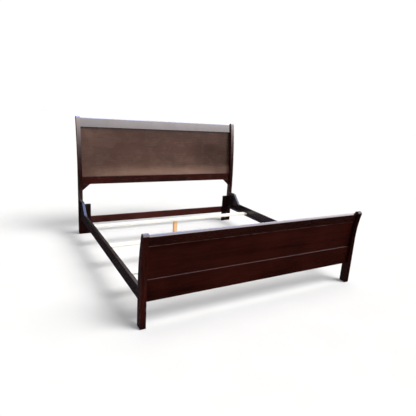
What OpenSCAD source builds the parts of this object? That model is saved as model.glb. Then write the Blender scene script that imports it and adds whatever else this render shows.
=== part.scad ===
/* [Overall size] */
// Overall width across the outer faces of the posts, mm
overall_width = 2040; // [1980:1:2060]
// Clear length between footboard posts and headboard posts, mm
clear_length = 2065; // [2045:1:2090]
// Thickness of all four curved posts across the bed, mm
post_thickness = 42; // [40:1:46]

/* [Headboard] */
// Height where the rounded top of a headboard post begins, mm
hb_spring_height = 1302; // [1280:1:1320]
// Front-to-back depth of a headboard post near the floor, mm
hb_post_depth = 58; // [56:1:64]
// Radius of the backward lean of the headboard front face, mm
hb_front_radius = 5700; // [5400:10:6200]
// Radius of the backward lean of the headboard post rear face, mm
hb_rear_radius = 3220; // [3100:10:3400]
// Lower edge height of the headboard bottom rail, mm
hb_rail_low = 579; // [560:1:600]
// Height of the headboard bottom rail, mm
hb_rail_height = 86; // [76:1:94]
// Height of the headboard crest rail up to the start of its rounded top, mm
hb_crest_height = 85; // [78:1:92]
// Length of the corner brackets along the headboard bottom rail, mm
gusset_leg = 88; // [60:1:110]
// Length of the corner brackets down the headboard posts, mm
gusset_drop = 76; // [50:1:95]

/* [Footboard] */
// Height where the rounded top of a footboard post begins, mm
fb_spring_height = 670; // [655:1:680]
// Front-to-back depth of a footboard post near the floor, mm
fb_post_depth = 66; // [62:1:70]
// Radius of the outward flare of the footboard front face, mm
fb_front_radius = 1018; // [990:2:1060]
// Radius of the rear face of the footboard post, mm
fb_rear_radius = 1400; // [1360:5:1450]
// Lower edge height of the footboard lower board, mm
fb_board_low = 191; // [180:1:200]
// Height of the footboard lower board, mm
fb_board_height = 164; // [154:1:170]
// Height of the footboard top rail up to the start of its rounded top, mm
fb_rail_height = 65; // [60:1:70]

/* [Side rails and slats] */
// Height of the plain part of a side rail, mm
rail_height = 97; // [92:1:104]
// Thickness of a side rail, mm
rail_thickness = 26; // [24:1:28]
// Height of the raised end of a side rail above its top edge, mm
ear_rise = 116; // [110:1:120]
// Width of a slat along the bed, mm
slat_width = 66; // [58:1:76]
// Thickness of a slat, mm
slat_thickness = 19; // [18:0.5:22]
// Side of the square centre support legs, mm
leg_side = 38; // [36:1:42]

/* [Hidden] */
$fn = 96;
big = 1440;
W = overall_width;
h = W / 2;
pt = post_thickness;
xi = h - pt;                      // inner face of the posts
fd = fb_post_depth;
L = fd + clear_length;            // front plane of the headboard posts
hd = hb_post_depth;
glide = 3;                        // thickness of the floor glides
// headboard curves
hz0 = 396;
hz1 = 640;
hzs = hb_spring_height;
function sag(z, z0, r) = z <= z0 ? 0 : r - sqrt(r * r - (z - z0) * (z - z0));
function hb_front(z) = L + sag(z, hz0, hb_front_radius);
function hb_rear(z) = L + hd + sag(z, hz1, hb_rear_radius);
// footboard curves
fz0 = 430;
fz1 = 300;
fzs = fb_spring_height;
function fb_front(z) = -sag(z, fz0, fb_front_radius);
function fb_rear(z) = fd - sag(z, fz1, fb_rear_radius);
// the frame's origin is on the floor under the middle of the bed
yc = -(fb_front(fb_spring_height) + hb_rear(hb_spring_height)) / 2;
// offsets of the framed parts behind the post front curve
hb_in = 26;
hb_rt = 26;
hb_pin = 46;
fb_in = 22;
fb_rt = 24;
fb_pin = 32;
ply = 4;
gro = 8;                          // groove depth
gap = 0.2;                        // clearance of panels and tenons
ten = 20;                         // tenon length
round_ease = 0.5;                 // extra radius of the rounded tops over half the thickness
// rail levels
rail_low = 188;
rail_top = rail_low + rail_height;
ear_top = rail_top + ear_rise;
xo_r = h - 11;                    // outer face of a side rail
xi_r = xo_r - rail_thickness;     // inner face of a side rail
// cleats and slats
cleat_w = 18;
cleat_h = 17;
cleat_top = 206;
slat_top = cleat_top + slat_thickness;
slat_pos = [fd + clear_length * 0.191, fd + clear_length * 0.491, fd + clear_length * 0.79];
leg_x = -19;
leg_low = 20;
// headboard crest and footboard top rail
hb_crest_r = hb_rt / 2;
hb_crest_zs = 1301 + (hb_spring_height - 1302);
hb_crest_low = hb_crest_zs - hb_crest_height;
fb_cap_r = 18;                    // radius of the rounded front of the top rail
fb_cap_zs = 658 + (fb_spring_height - 670);
fb_cap_low = fb_cap_zs - fb_rail_height;
// leg blocks and stretcher at the foot of the headboard
block_w = 87;
block_t = 22;
block_top = 352;
str_low = 118;
str_h = 80;
str_t = 20;

// colours
module wood() translate([0, yc, 0]) color([0.20, 0.07, 0.05]) children();
module rail_wood() translate([0, yc, 0]) color([0.10, 0.06, 0.07]) children();
module pine() translate([0, yc, 0]) color([0.86, 0.74, 0.55]) children();
module steel() translate([0, yc, 0]) color([0.62, 0.62, 0.64]) children();
module nylon() translate([0, yc, 0]) color([0.12, 0.12, 0.12]) children();

// a (Y,Z) profile extruded along X from x0 over len
module along_x(x0, len) translate([x0, 0, 0]) rotate([90, 0, 90]) linear_extrude(len) children();
// an (X,Z) profile extruded along Y from y0 over len
module along_y(y0, len) translate([0, y0 + len, 0]) rotate([90, 0, 0]) linear_extrude(len) children();

// region behind the headboard front curve, moved back by off, between two heights
module hb_behind(off, za, zb) {
  intersection() {
    translate([L + off, za]) square([500, zb - za]);
    union() {
      translate([L + off, -50]) square([500, hz0 + 50]);
      translate([L + off + hb_front_radius, hz0]) circle(r = hb_front_radius, $fn = big);
    }
  }
}
module hb_strip(a, b, za, zb) {
  difference() {
    hb_behind(a, za, zb);
    hb_behind(b, za - 5, zb + 5);
  }
}
// full height below zs, and a round of radius r about (y, zs) above it
module round_top(y, zs, r) {
  union() {
    translate([y - 400, -20]) square([800, zs + 20]);
    translate([y, zs]) circle(r = r);
  }
}
// flat slab between the headboard bottom rail and the crest rail, moved back by off, t thick, between two heights
module hb_flat(off, t, za, zb) {
  z0 = hb_rail_low + hb_rail_height;
  y0 = hb_front(z0) + off;
  k = (hb_front(hb_crest_low) - hb_front(z0)) / (hb_crest_low - z0);
  polygon([[y0 + k * (za - z0), za], [y0 + k * (zb - z0), zb], [y0 + k * (zb - z0) + t, zb], [y0 + k * (za - z0) + t, za]]);
}
// headboard post outline
module hb_post_2d() {
  yf = hb_front(hzs);
  yr = hb_rear(hzs);
  intersection() {
    difference() {
      hb_behind(0, glide, hzs + 60);
      translate([L + hd, -10]) square([600, hz1 + 10]);
      translate([L + hd + hb_rear_radius, hz1]) circle(r = hb_rear_radius, $fn = big);
    }
    round_top((yf + yr) / 2, hzs, (yr - yf) / 2 + round_ease);
  }
}
// region behind the footboard front curve, moved back by off, between two heights
module fb_behind(off, za, zb) {
  difference() {
    translate([off - 60, za]) square([300, zb - za]);
    translate([off - 100, -50]) square([100, fz0 + 50]);
    translate([off - fb_front_radius, fz0]) circle(r = fb_front_radius, $fn = big);
  }
}
module fb_strip(a, b, za, zb) {
  difference() {
    fb_behind(a, za, zb);
    fb_behind(b, za - 5, zb + 5);
  }
}
// flat slab between the footboard lower board and the top rail, moved back by off, t thick, between two heights
module fb_flat(off, t, za, zb) {
  z0 = fb_board_low + fb_board_height;
  y0 = fb_front(z0) + off;
  k = (fb_front(fb_cap_low) - fb_front(z0)) / (fb_cap_low - z0);
  polygon([[y0 + k * (za - z0), za], [y0 + k * (za - z0) + t, za], [y0 + k * (zb - z0) + t, zb], [y0 + k * (zb - z0), zb]]);
}
// footboard post outline
module fb_post_2d() {
  yf = fb_front(fzs);
  yr = fb_rear(fzs);
  intersection() {
    fb_behind(0, glide, fzs + 60);
    union() {
      translate([-80, -10]) square([fd + 80, fz1 + 10]);
      translate([fd - fb_rear_radius, fz1]) circle(r = fb_rear_radius, $fn = big);
    }
    round_top((yf + yr) / 2, fzs, (yr - yf) / 2 + round_ease);
  }
}
// crest rail and footboard top rail sections
module hb_crest_2d() {
  intersection() {
    hb_strip(hb_in, hb_in + hb_rt, hb_crest_low, hb_crest_zs + 40);
    round_top(hb_front(hb_crest_zs) + hb_in + hb_crest_r, hb_crest_zs, hb_crest_r + round_ease);
  }
}
module fb_cap_2d() {
  y0 = fb_front(fb_cap_zs) + fb_in;
  difference() {
    intersection() {
      fb_strip(fb_in, fb_in + fb_rt, fb_cap_low, fb_cap_zs + 40);
      round_top(y0 + fb_cap_r, fb_cap_zs, fb_cap_r + round_ease);
    }
    // slanted rear upper edge
    translate([y0 + fb_rt, fb_cap_zs + fb_cap_r - 4]) polygon([[-8.5, 5.5], [0, -3], [12, -3], [12, 12], [-8.5, 12]]);
  }
}

// flat-head wood screw along +Y, head face at the origin
module screw(len, r, rh) {
  rotate([-90, 0, 0]) union() {
    cylinder(h = rh - r, r1 = rh, r2 = r);
    translate([0, 0, rh - r]) cylinder(h = len - (rh - r), r = r);
  }
}
module screw_hole(len, r, rh) {
  rotate([-90, 0, 0]) union() {
    translate([0, 0, -1]) cylinder(h = 1, r = rh + 0.1);
    cylinder(h = rh - r, r1 = rh + 0.1, r2 = r + 0.1);
    translate([0, 0, rh - r]) cylinder(h = len - (rh - r) + 1, r = r + 0.1);
  }
}

// hook hardware: lists of hook feet and screw heights for both ends
hx = (xo_r + xi_r) / 2;                    // centre of the rail thickness
plate_w = 16;
plate_t = 2.5;
hb_plate = [204, 124];                     // lower edge and length
fb_plate = [192, 88];
hb_hooks = [226, 284];
fb_hooks = [213, 246];
hb_scr = [213, 266, 320];
fb_scr = [198, 275];
module plate_blank(z, y0) translate([-plate_w / 2, y0, z[0]]) cube([plate_w, plate_t, z[1]]);
module hook() translate([-1.5, 0, 0]) rotate([90, 0, 90]) linear_extrude(3)
  polygon([[-0.5, 0], [3, 0], [3, -8], [6, -8], [10, -3], [10, 11], [7, 14], [-0.5, 14]]);
// rail plate facing +Y, outer face at y = 0, plate centred on x = 0
module rail_plate(z, hooks, scr) {
  difference() {
    union() {
      plate_blank(z, -plate_t);
      for (k = hooks) translate([0, 0, k]) hook();
    }
    for (s = scr) translate([0, 0, s]) rotate([0, 0, 180]) screw_hole(26, 2, 4);
  }
}
// slot plate in the post, outer face at y = 0, body towards +Y
module slot_plate(z, hooks, scr) {
  difference() {
    plate_blank(z, 0);
    for (k = hooks) translate([-2.5, -1, k]) cube([5, plate_t + 2, 24]);
    for (s = scr) translate([0, 0, s]) screw_hole(24, 2, 4);
  }
}
// material removed from a post for the slot plate
module slot_pocket(z, hooks, scr) {
  translate([-plate_w / 2 - 0.1, -1, z[0] - 0.1]) cube([plate_w + 0.2, plate_t + 1, z[1] + 0.2]);
  for (k = hooks) translate([-4, -1, k - 11]) cube([8, 15, 37]);
  for (s = scr) translate([0, 0, s]) screw_hole(22, 2, 4);
}
// material removed from a rail end for the rail plate
module plate_recess(z, scr) {
  translate([-plate_w / 2 - 0.1, -plate_t, z[0] - 0.1]) cube([plate_w + 0.2, plate_t + 1, z[1] + 0.2]);
  for (s = scr) translate([0, 0, s]) rotate([0, 0, 180]) screw_hole(26, 2, 4);
}

// solids
module hb_post_solid() {                   // right-hand post
  difference() {
    along_x(xi, pt) hb_post_2d();
    // groove for the panel
    along_x(xi - 1, gro + 1) hb_flat(hb_pin - gap, ply + 2 * gap, hb_rail_low + hb_rail_height - gro, hb_crest_low + gro);
    // mortises of crest rail, bottom rail and stretcher
    along_x(xi - 1, ten + 2) hb_strip(hb_in + 6 - gap, hb_in + hb_rt - 6 + gap, hb_crest_low + 12 - gap, hb_crest_zs - 8 + gap);
    along_x(xi - 1, ten + 2) hb_strip(hb_in + 6 - gap, hb_in + hb_rt - 6 + gap, hb_rail_low + 12 - gap, hb_rail_low + hb_rail_height - 12 + gap);
    translate([xi - 1, L + block_t + 4 - gap, str_low + 10 - gap]) cube([ten + 2, str_t - 8 + 2 * gap, str_h - 20 + 2 * gap]);
    // dowel holes of the leg block
    for (z = [60, 180, 300]) translate([xi - 1, L + block_t / 2, z]) rotate([0, 90, 0]) cylinder(h = 22, r = 4.1);
    // slot plate
    translate([hx, L, 0]) slot_pocket(hb_plate, hb_hooks, hb_scr);
    // glide nail
    translate([xi + pt / 2, L + hd / 2, 0]) cylinder(h = 18, r = 1.2);
  }
}
module fb_post_solid() {
  difference() {
    along_x(xi, pt) fb_post_2d();
    along_x(xi - 1, gro + 1) fb_flat(fb_pin - gap, ply + 2 * gap, fb_board_low + fb_board_height - gro, fb_cap_low + gro);
    along_x(xi - 1, ten + 2) fb_strip(fb_in + 6 - gap, fb_in + fb_rt - 6 + gap, fb_cap_low + 12 - gap, fb_cap_zs - 8 + gap);
    translate([xi - 1, fb_in + 6 - gap, fb_board_low + 16 - gap]) cube([ten + 2, fb_rt - 12 + 2 * gap, fb_board_height - 32 + 2 * gap]);
    translate([hx, fd, 0]) mirror([0, 1, 0]) slot_pocket(fb_plate, fb_hooks, fb_scr);
    translate([xi + pt / 2, fd / 2, 0]) cylinder(h = 18, r = 1.2);
  }
}
module crest_solid() {
  difference() {
    along_x(-xi, 2 * xi) hb_crest_2d();
    along_x(-xi - 1, 2 * xi + 2) hb_flat(hb_pin - gap, ply + 2 * gap, hb_crest_low - 1, hb_crest_low + gro);
  }
  for (s = [-1, 1]) along_x(s > 0 ? xi : -xi - ten, ten) hb_strip(hb_in + 6, hb_in + hb_rt - 6, hb_crest_low + 12, hb_crest_zs - 8);
}
module hb_rail_solid() {
  zt = hb_rail_low + hb_rail_height;
  difference() {
    along_x(-xi, 2 * xi) hb_strip(hb_in, hb_in + hb_rt, hb_rail_low, zt);
    along_x(-xi - 1, 2 * xi + 2) hb_flat(hb_pin - gap, ply + 2 * gap, zt - gro, zt + 1);
  }
  for (s = [-1, 1]) along_x(s > 0 ? xi : -xi - ten, ten) hb_strip(hb_in + 6, hb_in + hb_rt - 6, hb_rail_low + 12, zt - 12);
}
module fb_cap_solid() {
  difference() {
    along_x(-xi, 2 * xi) fb_cap_2d();
    along_x(-xi - 1, 2 * xi + 2) fb_flat(fb_pin - gap, ply + 2 * gap, fb_cap_low - 1, fb_cap_low + gro);
  }
  for (s = [-1, 1]) along_x(s > 0 ? xi : -xi - ten, ten) fb_strip(fb_in + 6, fb_in + fb_rt - 6, fb_cap_low + 12, fb_cap_zs - 8);
}
module fb_board_solid() {
  zt = fb_board_low + fb_board_height;
  difference() {
    translate([-xi, fb_in, fb_board_low]) cube([2 * xi, fb_rt, fb_board_height]);
    along_x(-xi - 1, 2 * xi + 2) fb_flat(fb_pin - gap, ply + 2 * gap, zt - gro, zt + 1);
  }
  for (s = [-1, 1]) translate([s > 0 ? xi : -xi - ten, fb_in + 6, fb_board_low + 16]) cube([ten, fb_rt - 12, fb_board_height - 32]);
}
// corner bracket at +X
module gusset_solid() {
  intersection() {
    along_x(xi - gusset_leg - 1, gusset_leg + 1) hb_strip(hb_in, hb_in + hb_rt - 4, hb_rail_low - gusset_drop - 1, hb_rail_low);
    along_y(L, 200) polygon([[xi, hb_rail_low], [xi - gusset_leg, hb_rail_low], [xi, hb_rail_low - gusset_drop]]);
  }
}
module block_solid() {
  difference() {
    translate([xi - block_w, L, glide]) cube([block_w, block_t, block_top - glide]);
    for (z = [60, 180, 300]) translate([xi - 21, L + block_t / 2, z]) rotate([0, 90, 0]) cylinder(h = 22, r = 4.1);
    for (z = [str_low + 20, str_low + str_h - 20]) translate([xi - block_w / 2, L + block_t + str_t, z]) rotate([0, 0, 180]) screw_hole(34, 2, 4);
  }
}
module stretcher_solid() {
  difference() {
    union() {
      translate([-xi, L + block_t, str_low]) cube([2 * xi, str_t, str_h]);
      for (s = [-1, 1]) translate([s > 0 ? xi : -xi - ten, L + block_t + 4, str_low + 10]) cube([ten, str_t - 8, str_h - 20]);
    }
    for (s = [-1, 1]) for (z = [str_low + 20, str_low + str_h - 20])
      translate([s * (xi - block_w / 2), L + block_t + str_t, z]) rotate([0, 0, 180]) screw_hole(34, 2, 4);
  }
}
// side rail at +X
cleat_scr = [for (k = [0:6]) fd + 120 + k * (clear_length - 240) / 6];
module rail_2d() {
  rc = 16;
  ya = L - 121;                            // where the flat top of the ear ends
  yb = L - 243;                            // where the slope meets the plain rail
  difference() {
    union() {
      translate([fd, rail_low]) square([clear_length, rail_height]);
      polygon([[L, rail_top - 1], [L, ear_top], [ya, ear_top], [yb, rail_top], [yb, rail_top - 1]]);
      polygon([[yb + 8, rail_top + 7.6], [yb - 14, rail_top], [yb, rail_top - 1], [yb + 8, rail_top - 1]]);
    }
    // softened upper corner of the ear
    polygon([[ya + 12, ear_top + 1], [ya + 12, ear_top], [ya - 28, ear_top - 15.2], [ya - 28, ear_top + 1]]);
  }
}
module rail_solid() {
  difference() {
    along_x(xi_r, rail_thickness) rail_2d();
    translate([hx, L, 0]) plate_recess(hb_plate, hb_scr);
    translate([hx, fd, 0]) mirror([0, 1, 0]) plate_recess(fb_plate, fb_scr);
    for (y = cleat_scr) translate([xi_r - cleat_w, y, cleat_top - cleat_h / 2]) rotate([0, 0, -90]) screw_hole(34, 2, 4);
  }
}
module cleat_solid() {
  difference() {
    translate([xi_r - cleat_w, fd + 10, cleat_top - cleat_h]) cube([cleat_w, clear_length - 20, cleat_h]);
    for (y = cleat_scr) translate([xi_r - cleat_w, y, cleat_top - cleat_h / 2]) rotate([0, 0, -90]) screw_hole(34, 2, 4);
    for (y = slat_pos) translate([xi_r - cleat_w / 2, y, slat_top]) rotate([-90, 0, 0]) screw_hole(32, 2, 4);
  }
}
module slat_solid(y) {
  difference() {
    translate([-xi_r + 2, y - slat_width / 2, cleat_top]) cube([2 * xi_r - 4, slat_width, slat_thickness]);
    for (s = [-1, 1]) translate([s * (xi_r - cleat_w / 2), y, slat_top]) rotate([-90, 0, 0]) screw_hole(32, 2, 4);
    for (s = [-1, 1]) translate([leg_x + s * 9, y + s * 8, slat_top]) rotate([-90, 0, 0]) screw_hole(62, 2.2, 4.4);
  }
}
module leg_solid(y) {
  difference() {
    translate([leg_x - leg_side / 2, y - leg_side / 2, leg_low]) cube([leg_side, leg_side, cleat_top - leg_low]);
    for (s = [-1, 1]) translate([leg_x + s * 9, y + s * 8, slat_top]) rotate([-90, 0, 0]) screw_hole(62, 2.2, 4.4);
    translate([leg_x, y, leg_low - 1]) cylinder(h = 14, r = 5.6);
    translate([leg_x, y, leg_low - 1]) cylinder(h = 52, r = 4.8);
  }
}
module tee_nut(y) {
  translate([leg_x, y, leg_low]) difference() {
    union() {
      translate([0, 0, -1.5]) cylinder(h = 1.5, r = 11);
      cylinder(h = 12, r = 5.5);
    }
    translate([0, 0, -3]) cylinder(h = 18, r = 4.05);
  }
}
module stem(y) translate([leg_x, y, 4]) cylinder(h = 50, r = 4);
module pad(y) translate([leg_x, y, 0]) difference() {
  union() {
    cylinder(h = 5, r = 16);
    translate([0, 0, 5]) cylinder(h = 3, r1 = 16, r2 = 10);
  }
  translate([0, 0, 4]) cylinder(h = 6, r = 4.05);
}
module glide_solid(x, y) translate([x, y, 0]) union() {
  cylinder(h = glide, r = 12);
  cylinder(h = 17, r = 1);
}
module mirrored_pair() {
  children();
  mirror([1, 0, 0]) children();
}

// sub-parts
module headboard_post_left() wood() mirror([1, 0, 0]) hb_post_solid();
module headboard_post_right() wood() hb_post_solid();
module headboard_crest_rail() wood() crest_solid();
module headboard_panel() wood() along_x(-xi - gro + 1, 2 * (xi + gro - 1)) hb_flat(hb_pin, ply, hb_rail_low + hb_rail_height - gro + 1, hb_crest_low + gro - 1);
module headboard_bottom_rail() wood() hb_rail_solid();
module headboard_gusset_left() wood() mirror([1, 0, 0]) gusset_solid();
module headboard_gusset_right() wood() gusset_solid();
module headboard_leg_block_left() wood() mirror([1, 0, 0]) block_solid();
module headboard_leg_block_right() wood() block_solid();
module headboard_stretcher() wood() stretcher_solid();
module footboard_post_left() wood() mirror([1, 0, 0]) fb_post_solid();
module footboard_post_right() wood() fb_post_solid();
module footboard_top_rail() wood() fb_cap_solid();
module footboard_panel() wood() along_x(-xi - gro + 1, 2 * (xi + gro - 1)) fb_flat(fb_pin, ply, fb_board_low + fb_board_height - gro + 1, fb_cap_low + gro - 1);
module footboard_lower_board() wood() fb_board_solid();
module side_rail_left() rail_wood() mirror([1, 0, 0]) rail_solid();
module side_rail_right() rail_wood() rail_solid();
module slat_cleat_left() rail_wood() mirror([1, 0, 0]) cleat_solid();
module slat_cleat_right() rail_wood() cleat_solid();
module slat_head() pine() slat_solid(slat_pos[2]);
module slat_middle() pine() slat_solid(slat_pos[1]);
module slat_foot() pine() slat_solid(slat_pos[0]);
module centre_leg_head() pine() leg_solid(slat_pos[2]);
module centre_leg_middle() pine() leg_solid(slat_pos[1]);
module centre_leg_foot() pine() leg_solid(slat_pos[0]);
module tee_nuts() steel() for (y = slat_pos) tee_nut(y);
module leveller_stem_head() steel() stem(slat_pos[2]);
module leveller_stem_middle() steel() stem(slat_pos[1]);
module leveller_stem_foot() steel() stem(slat_pos[0]);
module leveller_pad_head() nylon() pad(slat_pos[2]);
module leveller_pad_middle() nylon() pad(slat_pos[1]);
module leveller_pad_foot() nylon() pad(slat_pos[0]);
module rail_hook_plates_headboard() steel() mirrored_pair() translate([hx, L, 0]) rail_plate(hb_plate, hb_hooks, hb_scr);
module rail_hook_plates_footboard() steel() mirrored_pair() translate([hx, fd, 0]) mirror([0, 1, 0]) rail_plate(fb_plate, fb_hooks, fb_scr);
module post_slot_plates_headboard() steel() mirrored_pair() translate([hx, L, 0]) slot_plate(hb_plate, hb_hooks, hb_scr);
module post_slot_plates_footboard() steel() mirrored_pair() translate([hx, fd, 0]) mirror([0, 1, 0]) slot_plate(fb_plate, fb_hooks, fb_scr);
module hook_plate_screws() steel() mirrored_pair() {
  for (s = hb_scr) translate([hx, L, s]) rotate([0, 0, 180]) screw(25, 2, 4);
  for (s = fb_scr) translate([hx, fd, s]) screw(25, 2, 4);
}
module slot_plate_screws() steel() mirrored_pair() {
  for (s = hb_scr) translate([hx, L, s]) screw(21, 2, 4);
  for (s = fb_scr) translate([hx, fd, s]) rotate([0, 0, 180]) screw(21, 2, 4);
}
module cleat_screws() steel() mirrored_pair() for (y = cleat_scr) translate([xi_r - cleat_w, y, cleat_top - cleat_h / 2]) rotate([0, 0, -90]) screw(33, 2, 4);
module slat_screws() steel() mirrored_pair() for (y = slat_pos) translate([xi_r - cleat_w / 2, y, slat_top]) rotate([-90, 0, 0]) screw(31, 2, 4);
module leg_screws() steel() for (y = slat_pos) for (s = [-1, 1]) translate([leg_x + s * 9, y + s * 8, slat_top]) rotate([-90, 0, 0]) screw(61, 2.2, 4.4);
module stretcher_screws() steel() mirrored_pair() for (z = [str_low + 20, str_low + str_h - 20]) translate([xi - block_w / 2, L + block_t + str_t, z]) rotate([0, 0, 180]) screw(33, 2, 4);
module block_dowels() pine() mirrored_pair() for (z = [60, 180, 300]) translate([xi - 19, L + block_t / 2, z]) rotate([0, 90, 0]) cylinder(h = 38, r = 4);
module floor_glides() nylon() mirrored_pair() { glide_solid(xi + pt / 2, fd / 2); glide_solid(xi + pt / 2, L + hd / 2); }

headboard_post_left();
headboard_post_right();
headboard_crest_rail();
headboard_panel();
headboard_bottom_rail();
headboard_gusset_left();
headboard_gusset_right();
headboard_leg_block_left();
headboard_leg_block_right();
headboard_stretcher();
footboard_post_left();
footboard_post_right();
footboard_top_rail();
footboard_panel();
footboard_lower_board();
side_rail_left();
side_rail_right();
slat_cleat_left();
slat_cleat_right();
slat_head();
slat_middle();
slat_foot();
centre_leg_head();
centre_leg_middle();
centre_leg_foot();
tee_nuts();
leveller_stem_head();
leveller_stem_middle();
leveller_stem_foot();
leveller_pad_head();
leveller_pad_middle();
leveller_pad_foot();
rail_hook_plates_headboard();
rail_hook_plates_footboard();
post_slot_plates_headboard();
post_slot_plates_footboard();
hook_plate_screws();
slot_plate_screws();
cleat_screws();
slat_screws();
leg_screws();
stretcher_screws();
block_dowels();
floor_glides();
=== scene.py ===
import math

import bpy
from mathutils import Matrix, Vector


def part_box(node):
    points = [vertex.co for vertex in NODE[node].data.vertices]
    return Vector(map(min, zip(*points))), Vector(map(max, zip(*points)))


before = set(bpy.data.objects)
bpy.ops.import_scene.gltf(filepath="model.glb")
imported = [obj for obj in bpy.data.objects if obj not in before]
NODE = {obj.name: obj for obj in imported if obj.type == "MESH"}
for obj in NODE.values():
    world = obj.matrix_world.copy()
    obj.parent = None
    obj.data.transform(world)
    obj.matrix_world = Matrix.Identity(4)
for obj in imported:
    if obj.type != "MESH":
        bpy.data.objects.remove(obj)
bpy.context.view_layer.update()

scene = bpy.context.scene
scene.view_settings.view_transform = "Standard"
scene.view_settings.look = "None"
scene.view_settings.exposure = 0.0
scene.view_settings.gamma = 1.0


# ---------------------------------------------------------------- node helpers
class Tree:
    """A short way to write a node tree."""

    def __init__(self, name):
        self.mat = bpy.data.materials.new(name)
        self.mat.use_nodes = True
        self.t = self.mat.node_tree
        self.t.nodes.clear()
        self.out = self.t.nodes.new("ShaderNodeOutputMaterial")
        self.coord = self.t.nodes.new("ShaderNodeTexCoord").outputs["Object"]

    def put(self, node, key, value):
        if isinstance(value, bpy.types.NodeSocket):
            self.t.links.new(value, node.inputs[key])
        elif value is not None:
            node.inputs[key].default_value = value

    def math(self, op, a, b=None, c=None, clamp=False):
        n = self.t.nodes.new("ShaderNodeMath")
        n.operation = op
        n.use_clamp = clamp
        self.put(n, 0, a)
        self.put(n, 1, b)
        self.put(n, 2, c)
        return n.outputs[0]

    def vmath(self, op, a, b):
        n = self.t.nodes.new("ShaderNodeVectorMath")
        n.operation = op
        self.put(n, 0, a)
        self.put(n, 1, b)
        return n.outputs[0]

    def mapping(self, vec, scale=(1, 1, 1), rot=(0, 0, 0), loc=(0, 0, 0)):
        n = self.t.nodes.new("ShaderNodeMapping")
        n.vector_type = "POINT"
        self.put(n, "Vector", vec)
        n.inputs["Scale"].default_value = scale
        n.inputs["Rotation"].default_value = rot
        n.inputs["Location"].default_value = loc
        return n.outputs[0]

    def noise(self, vec, scale=1.0, detail=3.0, rough=0.5, distort=0.0, colour=False):
        n = self.t.nodes.new("ShaderNodeTexNoise")
        n.noise_dimensions = "3D"
        self.put(n, "Vector", vec)
        n.inputs["Scale"].default_value = scale
        n.inputs["Detail"].default_value = detail
        n.inputs["Roughness"].default_value = rough
        n.inputs["Distortion"].default_value = distort
        return n.outputs["Color" if colour else "Fac"]

    def voronoi(self, vec, scale=1.0, rand=1.0):
        n = self.t.nodes.new("ShaderNodeTexVoronoi")
        self.put(n, "Vector", vec)
        n.inputs["Scale"].default_value = scale
        n.inputs["Randomness"].default_value = rand
        return n.outputs["Distance"]

    def ramp(self, fac, stops, ease="LINEAR"):
        n = self.t.nodes.new("ShaderNodeValToRGB")
        n.color_ramp.interpolation = ease
        el = n.color_ramp.elements
        while len(el) > 1:
            el.remove(el[-1])
        el[0].position = stops[0][0]
        el[0].color = tuple(stops[0][1]) + (1.0,)
        for pos, col in stops[1:]:
            e = el.new(pos)
            e.color = tuple(col) + (1.0,)
        self.put(n, "Fac", fac)
        return n.outputs["Color"]

    def range(self, v, lo, hi, a=0.0, b=1.0, smooth=True):
        n = self.t.nodes.new("ShaderNodeMapRange")
        n.interpolation_type = "SMOOTHSTEP" if smooth else "LINEAR"
        n.clamp = True
        self.put(n, "Value", v)
        n.inputs["From Min"].default_value = lo
        n.inputs["From Max"].default_value = hi
        n.inputs["To Min"].default_value = a
        n.inputs["To Max"].default_value = b
        return n.outputs["Result"]

    def mix(self, fac, a, b, mode="MIX"):
        n = self.t.nodes.new("ShaderNodeMix")
        n.data_type = "RGBA"
        n.blend_type = mode
        n.clamp_factor = True
        self.put(n, 0, fac)
        self.put(n, 6, a if isinstance(a, bpy.types.NodeSocket) else tuple(a) + (1.0,))
        self.put(n, 7, b if isinstance(b, bpy.types.NodeSocket) else tuple(b) + (1.0,))
        return n.outputs[2]

    def scale_colour(self, colour, value):
        """colour times a number from a socket"""
        n = self.t.nodes.new("ShaderNodeVectorMath")
        n.operation = "SCALE"
        self.put(n, 0, colour)
        self.put(n, "Scale", value)
        return n.outputs[0]

    def bump(self, height, distance, strength=1.0, normal=None):
        n = self.t.nodes.new("ShaderNodeBump")
        self.put(n, "Height", height)
        n.inputs["Distance"].default_value = distance
        n.inputs["Strength"].default_value = strength
        if normal is not None:
            self.put(n, "Normal", normal)
        return n.outputs[0]

    def principled(self, **kw):
        n = self.t.nodes.new("ShaderNodeBsdfPrincipled")
        for k, v in kw.items():
            self.put(n, k.replace("_", " "), v)
        self.t.links.new(n.outputs[0], self.out.inputs["Surface"])
        return n


GRAIN_ROT = {"X": (0, 0, 0), "Y": (0, 0, -math.pi / 2), "Z": (0, math.pi / 2, 0)}


def wood_coords(t, grain, seed):
    """Object coordinates turned so that the grain runs along their X, moved by a seed and gently bent."""
    v = t.mapping(t.coord, rot=GRAIN_ROT[grain])
    v = t.mapping(v, loc=(seed * 3.17, seed * 1.31, seed * 2.03))
    bend = t.noise(t.mapping(v, scale=(0.9, 3.0, 3.0)), detail=2.0, colour=True)
    bend = t.vmath("SUBTRACT", bend, (0.5, 0.5, 0.5))
    bend = t.vmath("MULTIPLY", bend, (0.0, 0.05, 0.05))
    return t.vmath("ADD", v, bend)


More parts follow.
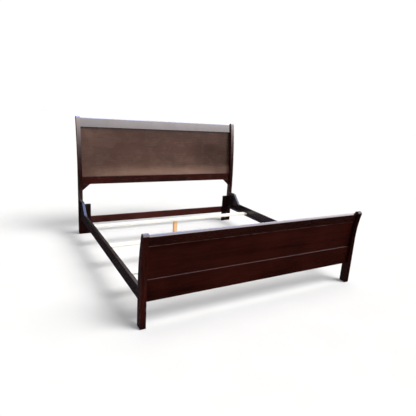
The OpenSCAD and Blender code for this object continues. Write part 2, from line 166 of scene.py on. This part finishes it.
def lacquered(name, grain, seed, dark, mid, red, rough=0.28, spec=0.5, coat=0.35, coat_rough=0.12, streak=1.0, wear_and_highlight=0.0,
              tint=(1.0, 0.9, 0.86), painted_sheen=None, painted_shade=None, wear_and_highlight_tone=(0.115, 0.040, 0.022)):
    """Dark stained wood under a satin lacquer."""
    t = Tree(name)
    v = wood_coords(t, grain, seed)
    bands = t.noise(t.mapping(v, scale=(0.55, 13.0, 13.0)), detail=6.0, rough=0.62, distort=0.9)
    fine = t.noise(t.mapping(v, scale=(5.0, 230.0, 230.0)), detail=4.0, rough=0.6)
    pores = t.noise(t.mapping(v, scale=(34.0, 1150.0, 1150.0)), detail=1.0, rough=0.5)
    pores = t.range(pores, 0.60, 0.70)
    blotch = t.noise(v, scale=2.3, detail=2.0, rough=0.5)
    col = t.ramp(bands, [(0.30, dark), (0.48, mid), (0.62, [c * 1.12 for c in mid]), (0.78, dark)], "EASE")
    col = t.mix(t.range(blotch, 0.42, 0.72, 0.0, 0.75), col, red)
    col = t.scale_colour(col, t.range(fine, 0.30, 0.70, 1.0 - 0.30 * streak, 1.0 + 0.22 * streak, smooth=False))
    col = t.mix(t.math("MULTIPLY", pores, 0.55), col, [c * 0.35 for c in dark])
    # lighter rubbed colour on the arrises: wear, and on the footboard top rail also a painted highlight
    if wear_and_highlight > 0:
        wear_and_highlight_mask = t.noise(v, scale=26.0, detail=3.0, rough=0.6)
        wear_and_highlight_mask = t.range(wear_and_highlight_mask, 0.66 - 0.36 * wear_and_highlight, 0.66, 0.0, wear_and_highlight)
        col = t.mix(wear_and_highlight_mask, col, wear_and_highlight_tone)
    smudge = t.noise(t.coord, scale=5.5, detail=3.0, rough=0.6, distort=0.4)
    if painted_sheen is not None:
        # the front of the big panel gets a painted sheen: a thin lighter film mixed into its colour stands for
        # reflected light, thickest above the ledge at its foot, streaked, with a darker patch on the right, and only on
        # faces turned to the front
        low, high, tone = painted_sheen
        axes = t.t.nodes.new("ShaderNodeSeparateXYZ")
        t.put(axes, 0, t.coord)
        px, pz = axes.outputs["X"], axes.outputs["Z"]
        up = t.range(pz, low, high, 0.0, 1.0, smooth=False)
        top = t.range(px, -1.00, -0.45, 0.34, 0.085)
        rise = t.math("MULTIPLY", t.range(px, -1.00, -0.30, 0.0, 0.37), t.range(px, 0.10, 0.90, 1.0, 0.42))
        sheen_film = t.math("MULTIPLY_ADD", rise, t.math("SUBTRACT", 1.0, up), top)
        foot = t.math("MULTIPLY", t.range(px, -1.00, -0.35, 0.02, 0.90), t.range(px, 0.25, 0.95, 1.0, 0.50))
        sheen_film = t.math("MULTIPLY_ADD", foot, t.range(up, 0.0, 0.26, 1.0, 0.0), sheen_film)
        sheen_streaks = t.noise(t.mapping(t.coord, scale=(1.1, 9.0, 9.0)), detail=4.0, rough=0.55, distort=0.5)
        cloud = t.noise(t.mapping(t.coord, scale=(2.4, 2.4, 5.0), loc=(0.8, 0.0, 0.4)), detail=2.0, rough=0.5)
        sway = t.noise(t.mapping(t.coord, scale=(2.0, 2.0, 4.0), loc=(4.1, 0.0, 2.4)), detail=2.0, colour=True)
        sway = t.vmath("MULTIPLY", t.vmath("SUBTRACT", sway, (0.5, 0.5, 0.5)), (0.5, 0.0, 0.22))
        spot = t.mapping(t.vmath("ADD", t.coord, sway), scale=(1.0 / 0.42, 0.0, 1.0 / 0.17), loc=(-0.66 / 0.42, 0.0, -0.95 / 0.17))
        patch = t.t.nodes.new("ShaderNodeVectorMath")
        patch.operation = "LENGTH"
        t.put(patch, 0, spot)
        sheen_gap = t.range(patch.outputs["Value"], 0.10, 1.10, 0.28, 1.0)
        sheen_film = t.math("MULTIPLY", sheen_film, t.range(sheen_streaks, 0.30, 0.70, 0.50, 0.74, smooth=False))
        sheen_film = t.math("MULTIPLY", sheen_film, t.range(cloud, 0.35, 0.65, 0.82, 1.08))
        sheen_film = t.math("MULTIPLY", sheen_film, sheen_gap)
        facing = t.t.nodes.new("ShaderNodeSeparateXYZ")
        t.put(facing, 0, t.t.nodes.new("ShaderNodeTexCoord").outputs["Normal"])
        sheen_film = t.math("MULTIPLY", sheen_film, t.range(facing.outputs["Y"], -0.7, -0.2, 1.0, 0.12))
        col = t.mix(sheen_film, col, tone)
        if painted_shade is not None:
            # painted shade: the panel is darkened towards its top edge, in the corner under the crest rail where the
            # rail's shadow falls
            edge, reach = painted_shade
            col = t.scale_colour(col, t.range(pz, edge - reach, edge, 1.0, 0.30))
    r = t.math("ADD", t.range(fine, 0.25, 0.75, rough - 0.05 * streak, rough + 0.07 * streak, smooth=False),
               t.range(smudge, 0.35, 0.70, -0.03, 0.06))
    r = t.math("ADD", r, t.math("MULTIPLY", pores, 0.15), clamp=True)
    h = t.math("ADD", t.math("MULTIPLY", fine, 0.35 * streak), t.math("MULTIPLY", pores, -0.5))
    peel = t.noise(t.coord, scale=120.0, detail=1.0)
    n = t.bump(h, 0.00022, 0.55)
    n = t.bump(peel, 0.00035, 0.12, normal=n)
    t.principled(Base_Color=col, Roughness=r, Normal=n, IOR=1.5, Specular_IOR_Level=spec,
                 Specular_Tint=tuple(tint) + (1.0,), Coat_Weight=coat, Coat_Roughness=coat_rough, Coat_IOR=1.5)
    return t.mat


def bare_pine(name, grain, seed, pale, band, knot, rough=0.55):
    """Planed softwood without stain: early and late wood bands, a few knots, fine fibres."""
    t = Tree(name)
    v = wood_coords(t, grain, seed)
    bands = t.noise(t.mapping(v, scale=(0.7, 24.0, 24.0)), detail=4.0, rough=0.5, distort=1.2)
    rings = t.math("FRACT", t.math("MULTIPLY", bands, 7.0))
    late = t.range(rings, 0.62, 0.95)
    fine = t.noise(t.mapping(v, scale=(9.0, 420.0, 420.0)), detail=3.0, rough=0.6)
    cells = t.voronoi(t.mapping(v, scale=(2.6, 7.0, 7.0)), scale=1.0)
    knots = t.range(cells, 0.05, 0.13, 1.0, 0.0)
    halo = t.range(cells, 0.08, 0.30, 0.55, 0.0)
    tone = t.noise(v, scale=3.0, detail=2.0)
    col = t.mix(t.math("MULTIPLY", late, 0.45), pale, band)
    col = t.mix(halo, col, band)
    col = t.mix(knots, col, knot)
    col = t.scale_colour(col, t.range(fine, 0.28, 0.72, 0.93, 1.05, smooth=False))
    col = t.scale_colour(col, t.range(tone, 0.35, 0.65, 0.955, 1.03))
    r = t.math("ADD", t.range(fine, 0.3, 0.7, rough - 0.06, rough + 0.10, smooth=False), t.math("MULTIPLY", late, -0.07), clamp=True)
    h = t.math("ADD", t.math("MULTIPLY", fine, 0.6), t.math("MULTIPLY", late, 0.4))
    n = t.bump(h, 0.00030, 0.6)
    t.principled(Base_Color=col, Roughness=r, Normal=n, IOR=1.45, Specular_IOR_Level=0.35)
    return t.mat


def zinc(name, seed):
    """Zinc-plated steel: faint brushed lines and cloudy passivation."""
    t = Tree(name)
    v = t.mapping(t.coord, loc=(seed, seed * 0.7, 0))
    lines = t.noise(t.mapping(v, scale=(60.0, 60.0, 1400.0)), detail=2.0)
    cloud = t.noise(v, scale=90.0, detail=3.0, rough=0.6)
    spots = t.range(t.voronoi(v, scale=420.0), 0.08, 0.16, 1.0, 0.0)
    col = t.mix(t.range(cloud, 0.35, 0.65), (0.52, 0.53, 0.56), (0.66, 0.64, 0.58))
    col = t.mix(t.math("MULTIPLY", spots, 0.35), col, (0.30, 0.27, 0.22))
    r = t.math("ADD", t.range(lines, 0.3, 0.7, 0.27, 0.42, smooth=False), t.math("MULTIPLY", spots, 0.2), clamp=True)
    n = t.bump(lines, 0.00005, 0.5)
    t.principled(Base_Color=col, Metallic=1.0, Roughness=r, Normal=n)
    return t.mat


def nylon(name, seed, base):
    """Moulded black nylon with a fine matt texture and scuffs."""
    t = Tree(name)
    v = t.mapping(t.coord, loc=(seed, 0, seed * 0.4))
    grainy = t.noise(v, scale=1600.0, detail=2.0)
    scuff = t.range(t.noise(t.mapping(v, scale=(300.0, 60.0, 60.0)), detail=2.0), 0.62, 0.74)
    col = t.mix(t.range(t.noise(v, scale=60.0), 0.35, 0.65), base, [c * 1.6 for c in base])
    col = t.mix(t.math("MULTIPLY", scuff, 0.4), col, (0.12, 0.12, 0.12))
    r = t.math("ADD", t.range(grainy, 0.3, 0.7, 0.48, 0.62, smooth=False), t.math("MULTIPLY", scuff, 0.12), clamp=True)
    n = t.bump(grainy, 0.00008, 0.5)
    t.principled(Base_Color=col, Roughness=r, Normal=n, IOR=1.53, Specular_IOR_Level=0.45)
    return t.mat


# ------------------------------------------------------------------- finishes
DARK = (0.0085, 0.0016, 0.0012)
MID = (0.0200, 0.0036, 0.0025)
RED = (0.0330, 0.0055, 0.0034)


def shade(k, c):
    return tuple(k * x for x in c)


# node: (grain direction, roughness, specular level, coat, coat roughness, brightness, bevel width in metres); the
# brightness paints light and shade: pieces of one finish are made lighter or darker by how light falls on them, such as
# the right footboard post and right leg block darker than their left twins
WOOD = {
    "headboard_post_left": ("Z", 0.17, 0.75, 0.45, 0.12, 0.75, 0.0022),
    "headboard_post_right": ("Z", 0.17, 0.55, 0.35, 0.12, 0.75, 0.0022),
    "headboard_crest_rail": ("X", 0.18, 0.62, 0.50, 0.12, 0.85, 0.0022),
    "headboard_panel": ("X", 0.24, 0.30, 0.0, 0.30, 1.00, 0.0004),
    "headboard_bottom_rail": ("X", 0.22, 0.3, 0.06, 0.16, 1.34, 0.0020),
    "headboard_gusset_left": ("X", 0.24, 0.3, 0.06, 0.16, 0.90, 0.0015),
    "headboard_gusset_right": ("X", 0.24, 0.3, 0.06, 0.16, 0.90, 0.0015),
    "headboard_leg_block_left": ("Z", 0.28, 0.3, 0.05, 0.18, 0.40, 0.0018),
    "headboard_leg_block_right": ("Z", 0.28, 0.3, 0.05, 0.18, 0.28, 0.0018),
    "headboard_stretcher": ("X", 0.33, 0.4, 0.05, 0.18, 1.9, 0.0018),
    "footboard_post_left": ("Z", 0.16, 0.36, 0.13, 0.11, 1.18, 0.0022),
    "footboard_post_right": ("Z", 0.22, 0.16, 0.04, 0.11, 0.55, 0.0022),
    "footboard_top_rail": ("X", 0.16, 0.50, 0.30, 0.11, 0.90, 0.0030),
    "footboard_panel": ("X", 0.18, 0.14, 0.02, 0.13, 1.16, 0.0004),
    "footboard_lower_board": ("X", 0.17, 0.16, 0.03, 0.12, 0.97, 0.0030),
}
RAIL = {
    "side_rail_left": ("Y", 0.17, 0.31, 0.11, 0.12, 1.15, 0.0014),
    "side_rail_right": ("Y", 0.17, 0.30, 0.06, 0.12, 1.2, 0.0014),
    "slat_cleat_left": ("Y", 0.42, 0.45, 0.1, 0.25, 1.0, 0.0012),
    "slat_cleat_right": ("Y", 0.42, 0.45, 0.1, 0.25, 1.0, 0.0012),
}
PINE = {
    "slat_head": ("X", 0.0025),
    "slat_middle": ("X", 0.0025),
    "slat_foot": ("X", 0.0025),
}
LEG = {
    "centre_leg_head": ("Z", 0.0020),
    "centre_leg_middle": ("Z", 0.0020),
    "centre_leg_foot": ("Z", 0.0020),
    "block_dowels": ("X", 0.0),
}
STEEL = ["tee_nuts", "rail_hook_plates_headboard", "rail_hook_plates_footboard", "post_slot_plates_headboard",
         "post_slot_plates_footboard", "hook_plate_screws", "slot_plate_screws", "cleat_screws", "slat_screws",
         "leg_screws", "stretcher_screws", "leveller_stem_head", "leveller_stem_middle", "leveller_stem_foot"]
NYLON = ["leveller_pad_head", "leveller_pad_middle", "leveller_pad_foot", "floor_glides"]


def dress(node, mats, bevel, segments=3):
    """Gives a CAD node its materials and, where it has sharp arrises, softens them."""
    o = NODE[node]
    o.data.materials.clear()
    for m in mats:
        o.data.materials.append(m)
    if bevel > 0:
        w = o.modifiers.new("weld", "WELD")
        w.merge_threshold = 0.00001
        if node not in ("centre_leg_foot", "headboard_bottom_rail"):
            d = o.modifiers.new("flats", "DECIMATE")
            d.decimate_type = "DISSOLVE"
            d.angle_limit = math.radians(0.05)
        b = o.modifiers.new("arris", "BEVEL")
        b.width = bevel
        b.segments = segments
        b.limit_method = "ANGLE"
        b.angle_limit = math.radians(32)
        b.use_clamp_overlap = True
        b.miter_outer = "MITER_SHARP"
        if len(mats) > 1:
            b.material = 1
        n = o.modifiers.new("normals", "WEIGHTED_NORMAL")
        n.keep_sharp = False
        n.weight = 80


seed = 1
for node, (grain, rough, spec, coat, coat_rough, k, bevel) in WOOD.items():
    seed += 1
    extra = {}
    if node == "headboard_panel":
        p_lo, p_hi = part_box(node)
        # the big headboard panel gets a painted sheen, a lighter film colour standing for reflected light, and painted
        # shade along its top edge under the crest rail
        extra = {"tint": (1.0, 0.86, 0.76), "painted_sheen": (p_lo.z + 0.007, p_hi.z - 0.007, (0.355, 0.222, 0.170)),
                 "painted_shade": (p_hi.z - 0.008, 0.032)}
    elif node in ("footboard_panel", "footboard_lower_board"):
        extra = {"tint": (1.0, 0.60, 0.52)}
    elif node.startswith("footboard") or node == "headboard_crest_rail":
        extra = {"tint": (1.0, 1.0, 1.0)}
    main = lacquered(node + "_lacquer", grain, seed, shade(k, DARK), shade(k, MID), shade(k, RED),
                     rough=rough, spec=spec, coat=coat, coat_rough=coat_rough, **extra)
    mats = [main]
    if node == "footboard_lower_board":
        spec, coat = 0.30, 0.08
    # bevelled arrises get a lighter rubbed copy of the lacquer as wear; on the footboard top rail the rubbed colour is
    # far paler and covers more of the arrises: wear, and a painted highlight that makes its lower edge read as a light
    # line
    if bevel > 0.001:
        rubbed_and_highlit = node == "footboard_top_rail"
        mats.append(lacquered(node + "_arris", grain, seed, shade(1.2 * k, DARK), shade(1.3 * k, MID), shade(1.3 * k, RED),
                              rough=rough - 0.02, spec=spec, coat=coat, coat_rough=coat_rough, streak=0.5,
                              wear_and_highlight=1.0 if rubbed_and_highlit else 0.45, wear_and_highlight_tone=(0.350, 0.205, 0.180) if rubbed_and_highlit else (0.115, 0.040, 0.022)))
    dress(node, mats, bevel)
R_DARK, R_MID, R_RED = (0.0075, 0.0056, 0.0064), (0.0115, 0.0080, 0.0088), (0.0140, 0.0085, 0.0092)
for node, (grain, rough, spec, coat, coat_rough, k, bevel) in RAIL.items():
    seed += 1
    main = lacquered(node + "_lacquer", grain, seed, shade(k, R_DARK), shade(k, R_MID), shade(k, R_RED),
                     rough=rough, spec=spec, coat=coat, coat_rough=coat_rough)
    edge = lacquered(node + "_arris", grain, seed, shade(1.2 * k, R_DARK), shade(1.3 * k, R_MID), shade(1.3 * k, R_RED),
                     rough=rough - 0.02, spec=spec, coat=coat, coat_rough=coat_rough, streak=0.5, wear_and_highlight=0.35)
    dress(node, [main, edge], bevel)
for node, (grain, bevel) in PINE.items():
    seed += 1
    dress(node, [bare_pine(node + "_pine", grain, seed, (1.0, 0.985, 0.90), (0.98, 0.935, 0.78), (0.62, 0.46, 0.29))], bevel)
for node, (grain, bevel) in LEG.items():
    seed += 1
    dress(node, [bare_pine(node + "_pine", grain, seed, (0.92, 0.550, 0.270), (0.73, 0.39, 0.155), (0.28, 0.13, 0.05))], bevel)
for node in STEEL:
    seed += 1
    dress(node, [zinc(node + "_zinc", seed)], 0.0)
for node in NYLON:
    seed += 1
    dress(node, [nylon(node + "_nylon", seed, (0.018, 0.018, 0.019))], 0.0)

# ---------------------------------------------------------------------- stage
floor_mesh = bpy.data.meshes.new("floor")
R = 60.0
floor_mesh.from_pydata([(-R, -R, 0), (R, -R, 0), (R, R, 0), (-R, R, 0)], [], [(0, 1, 2, 3)])
floor = bpy.data.objects.new("floor", floor_mesh)
scene.collection.objects.link(floor)
ft = Tree("floor_paper")
fcol = ft.mix(ft.range(ft.noise(ft.coord, scale=3.0, detail=3.0), 0.3, 0.7), (0.770, 0.770, 0.770), (0.785, 0.785, 0.785))
ft.principled(Base_Color=fcol, Roughness=0.9, Specular_IOR_Level=0.0)
floor_mesh.materials.append(ft.mat)
floor.visible_glossy = False

world = bpy.data.worlds.new("studio")
scene.world = world
world.use_nodes = True
wt = world.node_tree
wt.nodes.clear()


def wnode(kind, **inputs):
    n = wt.nodes.new(kind)
    for k, v in inputs.items():
        key = int(k[1:]) if k[0] == "i" and k[1:].isdigit() else k.replace("_", " ")
        if isinstance(v, bpy.types.NodeSocket):
            wt.links.new(v, n.inputs[key])
        else:
            n.inputs[key].default_value = v
    return n


w_out = wt.nodes.new("ShaderNodeOutputWorld")
direction = wt.nodes.new("ShaderNodeTexCoord").outputs["Generated"]
sep = wnode("ShaderNodeSeparateXYZ", Vector=direction)
ramp = wt.nodes.new("ShaderNodeValToRGB")
el = ramp.color_ramp.elements
SKY = [(-1.0, (0.010, 0.010, 0.010)), (-0.12, (0.016, 0.016, 0.016)), (0.0, (0.09, 0.085, 0.08)), (0.015, (0.16, 0.15, 0.14)),
       (0.065, (0.55, 0.53, 0.51)), (0.116, (1.20, 1.17, 1.14)), (0.166, (2.50, 2.46, 2.45)), (0.21, (4.8, 4.75, 4.8)),
       (0.25, (7.6, 7.4, 7.6)), (0.40, (8.0, 7.5, 7.7)), (0.62, (7.6, 7.2, 7.6)), (0.80, (6.0, 6.4, 8.4)), (1.0, (3.8, 5.6, 10.6))]
SKY = [(0.5 + 0.5 * z, tuple(v / 12.0 for v in c)) for z, c in SKY]
while len(el) > 1:
    el.remove(el[-1])
el[0].position, el[0].color = SKY[0][0], SKY[0][1] + (1.0,)
for p, c in SKY[1:]:
    e = el.new(p)
    e.color = c + (1.0,)
zz = wnode("ShaderNodeMath", i0=sep.outputs["Z"], i1=0.5)
zz.operation = "MULTIPLY_ADD"
zz.inputs[2].default_value = 0.5
wt.links.new(zz.outputs[0], ramp.inputs["Fac"])


def wrange(value, lo, hi, a, b):
    n = wnode("ShaderNodeMapRange", Value=value)
    n.interpolation_type = "SMOOTHSTEP"
    for key, v in (("From Min", lo), ("From Max", hi), ("To Min", a), ("To Max", b)):
        n.inputs[key].default_value = v
    return n.outputs["Result"]


def wmath(op, a, b, c=0.0):
    n = wnode("ShaderNodeMath", i0=a, i1=b, i2=c)
    n.operation = op
    return n.outputs[0]


sx, sy, sz = sep.outputs["X"], sep.outputs["Y"], sep.outputs["Z"]
# the far side of the room, behind the bed, is dark up to a third of the way to the zenith
behind = wrange(sy, -0.25, 0.25, 0.0, 1.0)
dim = wmath("MULTIPLY", behind, wrange(sz, 0.40, 0.66, 0.985, 0.0))
level = wmath("SUBTRACT", 1.0, dim)
# towards the left of the view the low sky falls off
flat = wmath("SQRT", wmath("ADD", wmath("MULTIPLY", sx, sx), wmath("MULTIPLY_ADD", sy, sy, 0.0001)), 0.0)
side = wmath("DIVIDE", sx, flat)
falloff = wmath("MULTIPLY", wrange(side, 0.0, 0.62, 0.44, 0.0), wrange(sz, 0.24, 0.55, 1.0, 0.0))
level = wmath("MULTIPLY", level, wmath("SUBTRACT", 1.0, falloff))
# a little light comes back from the ground on the left
low = wmath("MULTIPLY", behind, wrange(sz, -0.06, 0.10, 1.0, 0.0))
left = wmath("ADD", wrange(sx, -0.30, -0.05, 0.0035, 0.0), wmath("MULTIPLY", wrange(sx, -0.68, -0.30, 0.034, 0.0), wrange(sx, -0.76, -0.67, 0.1, 1.0)))
glow = wmath("MULTIPLY", low, left)
tinted = wt.nodes.new("ShaderNodeVectorMath")
tinted.operation = "SCALE"
wt.links.new(ramp.outputs["Color"], tinted.inputs[0])
wt.links.new(level, tinted.inputs["Scale"])
lift = wt.nodes.new("ShaderNodeVectorMath")
lift.operation = "SCALE"
lift.inputs[0].default_value = (1.0, 0.78, 0.88)
wt.links.new(glow, lift.inputs["Scale"])
both = wt.nodes.new("ShaderNodeVectorMath")
both.operation = "ADD"
wt.links.new(tinted.outputs[0], both.inputs[0])
wt.links.new(lift.outputs[0], both.inputs[1])
glossy = wnode("ShaderNodeBackground", Color=both.outputs[0], Strength=12.0)
fill = wnode("ShaderNodeBackground", Color=(0.98, 0.99, 1.0, 1.0), Strength=0.20)
seen = wnode("ShaderNodeBackground", Color=(1.0, 1.0, 1.0, 1.0), Strength=1.05)
path = wt.nodes.new("ShaderNodeLightPath")
m1 = wt.nodes.new("ShaderNodeMixShader")
wt.links.new(path.outputs["Is Glossy Ray"], m1.inputs[0])
wt.links.new(fill.outputs[0], m1.inputs[1])
wt.links.new(glossy.outputs[0], m1.inputs[2])
m2 = wt.nodes.new("ShaderNodeMixShader")
wt.links.new(path.outputs["Is Camera Ray"], m2.inputs[0])
wt.links.new(m1.outputs[0], m2.inputs[1])
wt.links.new(seen.outputs[0], m2.inputs[2])
wt.links.new(m2.outputs[0], w_out.inputs["Surface"])


def sun_light(name, energy, angle, colour, towards):
    data = bpy.data.lights.new(name, "SUN")
    data.energy = energy
    data.angle = math.radians(angle)
    data.color = colour
    o = bpy.data.objects.new(name, data)
    scene.collection.objects.link(o)
    o.rotation_euler = Vector(towards).normalized().to_track_quat("Z", "Y").to_euler()
    o.visible_glossy = False


sun_light("key", 1.60, 31, (1.0, 0.99, 0.975), (0.42, -0.50, 1.0))
sun_light("side", 1.66, 33, (1.0, 0.99, 0.98), (0.78, -0.50, 1.0))
sun_light("top", 0.96, 40, (1.0, 1.0, 1.0), (0.14, 0.11, 1.0))

# --------------------------------------------------------------------- camera
cam_data = bpy.data.cameras.new("camera")
cam_data.sensor_fit = "HORIZONTAL"
cam_data.sensor_width = 36.0
cam_data.lens = 374.0684 / 416.0 * 36.0
cam_data.shift_x = (208.0 - 212.566) / 416.0
cam_data.shift_y = (207.270 - 208.0) / 416.0
cam_data.clip_end = 200.0
cam = bpy.data.objects.new("camera", cam_data)
scene.collection.objects.link(cam)
yaw, pitch, roll = (math.radians(a) for a in (-30.3087, -14.2963, 3.9208))
f = Vector((-math.sin(yaw) * math.cos(pitch), math.cos(yaw) * math.cos(pitch), math.sin(pitch)))
r0 = f.cross(Vector((0, 0, 1))).normalized()
u0 = r0.cross(f)
r = r0 * math.cos(roll) + u0 * math.sin(roll)
u = u0 * math.cos(roll) - r0 * math.sin(roll)
m = Matrix((r, u, -f)).transposed().to_4x4()
m.translation = Vector((-1.77965, -3.27755, 1.47058))
cam.matrix_world = m
scene.camera = cam
